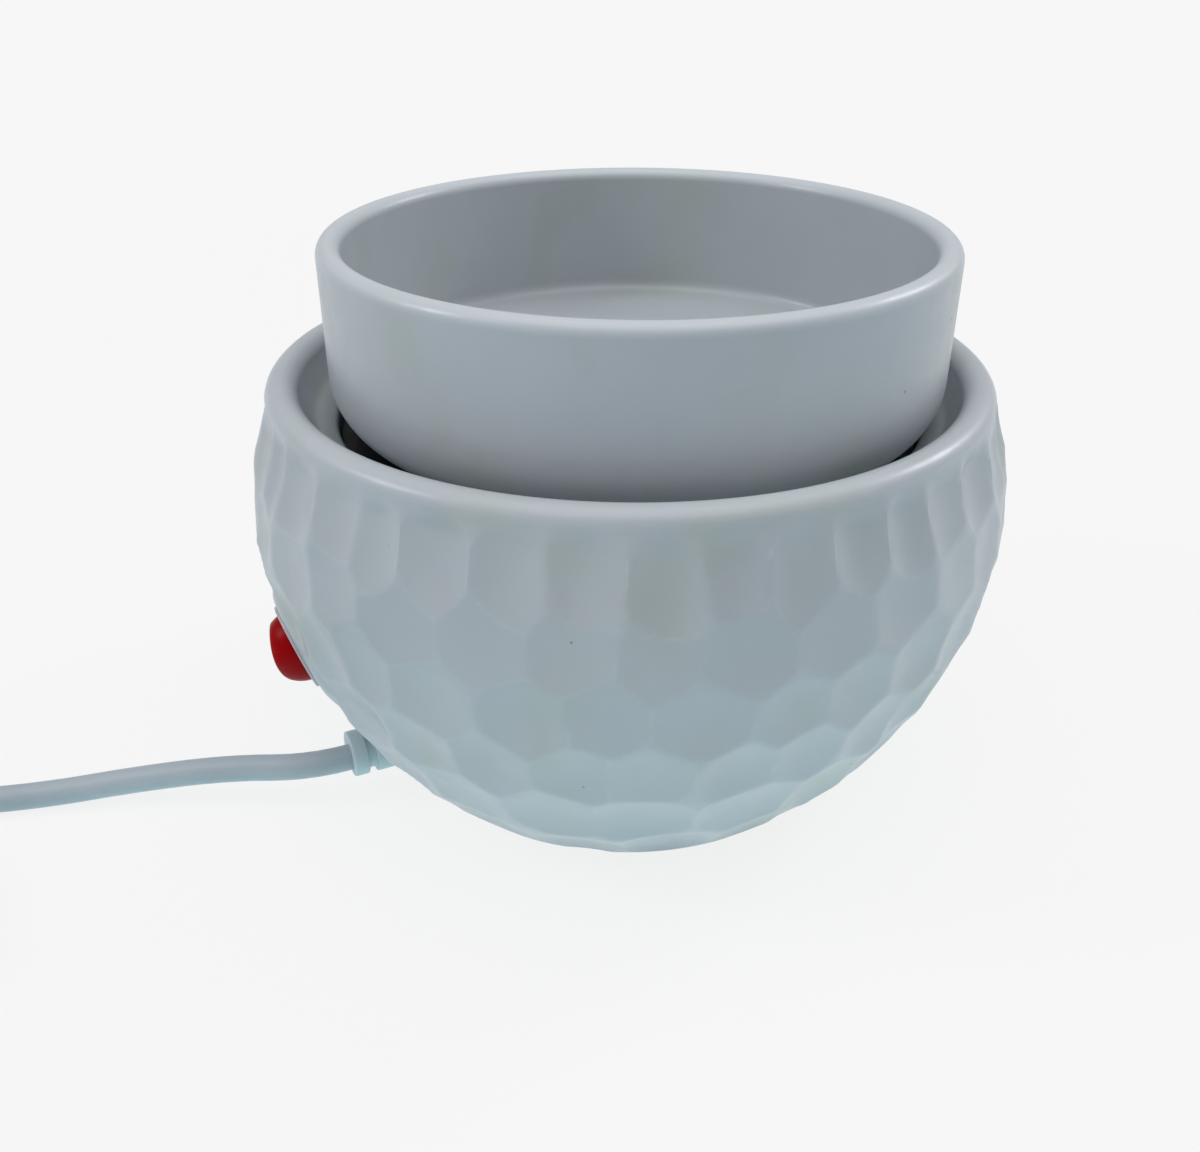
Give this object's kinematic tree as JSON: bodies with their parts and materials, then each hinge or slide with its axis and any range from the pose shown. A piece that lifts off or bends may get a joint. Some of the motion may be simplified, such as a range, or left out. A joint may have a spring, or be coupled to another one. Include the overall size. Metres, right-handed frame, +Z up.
{
  "type": "wax melt warmer",
  "caption": "Electric wax melt warmer: faceted ceramic bowl with a heated plate, a loose melt dish, a rocker switch and a coiled mains lead.",
  "frame": {"origin": "on the floor, at the middle of the bowl's foot", "axes": "+Z up along the bowl's axis; the switch and the mains lead are at -X"},
  "size_m": [0.3006, 0.1634, 0.1107],
  "materials": {
    "bowl_glaze": "satin pale glaze",
    "dish_glaze": "satin pale glaze",
    "plate_coating": "matte black non-stick coating",
    "silicone": "moulded silicone",
    "aluminium": "rolled sheet",
    "mica": "pressed mica sheet",
    "felt": "ceramic fibre felt",
    "steel": "zinc plated",
    "brass": "bare",
    "glass_sleeve": "woven glass fibre",
    "cover_plastic": "moulded, fine grain",
    "rubber": "moulded",
    "bezel_plastic": "moulded, satin",
    "rocker_red": "moulded, polished",
    "cord_plastic": "moulded, satin",
    "cord_jacket": "extruded soft vinyl",
    "tie_plastic": "moulded",
    "plug_plastic": "moulded soft vinyl",
    "lead_dark": "insulated lead",
    "lead_white": "insulated lead"
  },
  "bodies": {
    "base": {"ceramic_body": "bowl_glaze", "warming_plate": "plate_coating", "plate_seal": "silicone", "heat_spreader": "aluminium", "heating_element": "mica", "heater_terminals": "brass", "insulation_pad": "felt", "clamp_plate": "steel", "tie_rod": "steel", "rod_nuts": "steel", "rod_washers": "steel", "thermal_fuse": "brass", "fuse_sleeve": "glass_sleeve", "fuse_clip": "steel", "base_cover": "cover_plastic", "rubber_feet": "rubber", "switch_housing": "bezel_plastic", "switch_ring_nut": "bezel_plastic", "switch_terminals": "brass", "spade_connectors": "brass", "strain_relief": "cord_plastic", "strain_relief_nut": "cord_plastic", "cord_inner_end": "cord_jacket", "power_cord": "cord_jacket", "cord_coil": "cord_jacket", "cord_tie": "tie_plastic", "cord_tail": "cord_jacket", "plug_body": "plug_plastic", "plug_blades": "brass", "live_lead": "lead_dark", "switched_lead": "lead_dark", "fuse_lead": "lead_white", "neutral_lead": "lead_white", "lead_crimps": "steel"},
    "dish": {"melt_dish": "dish_glaze"},
    "rocker": {"switch_rocker": "rocker_red"},
    "contact": {"switch_contact_lever": "brass"}
  },
  "joints": [
    {"name": "dish_lift", "type": "slide", "parent": "base", "child": "dish", "axis": [0, 0, 1], "range_m": [0, 0.06]},
    {"name": "rocker_tip", "type": "hinge", "parent": "base", "child": "rocker", "pos_m": [-0.06958, 0, 0.03837], "axis": [-0.3117, 0, 0.9502], "range_deg": [0, 28]},
    {"name": "contact_rock", "type": "hinge", "parent": "base", "child": "contact", "pos_m": [-0.06198, 0, 0.04087], "axis": [-0.3117, 0, 0.9502], "range_deg": [-10, 0]}
  ],
  "couplings": [
    {"joint": "contact_rock", "follows": "rocker_tip", "ratio": -0.35}
  ]
}
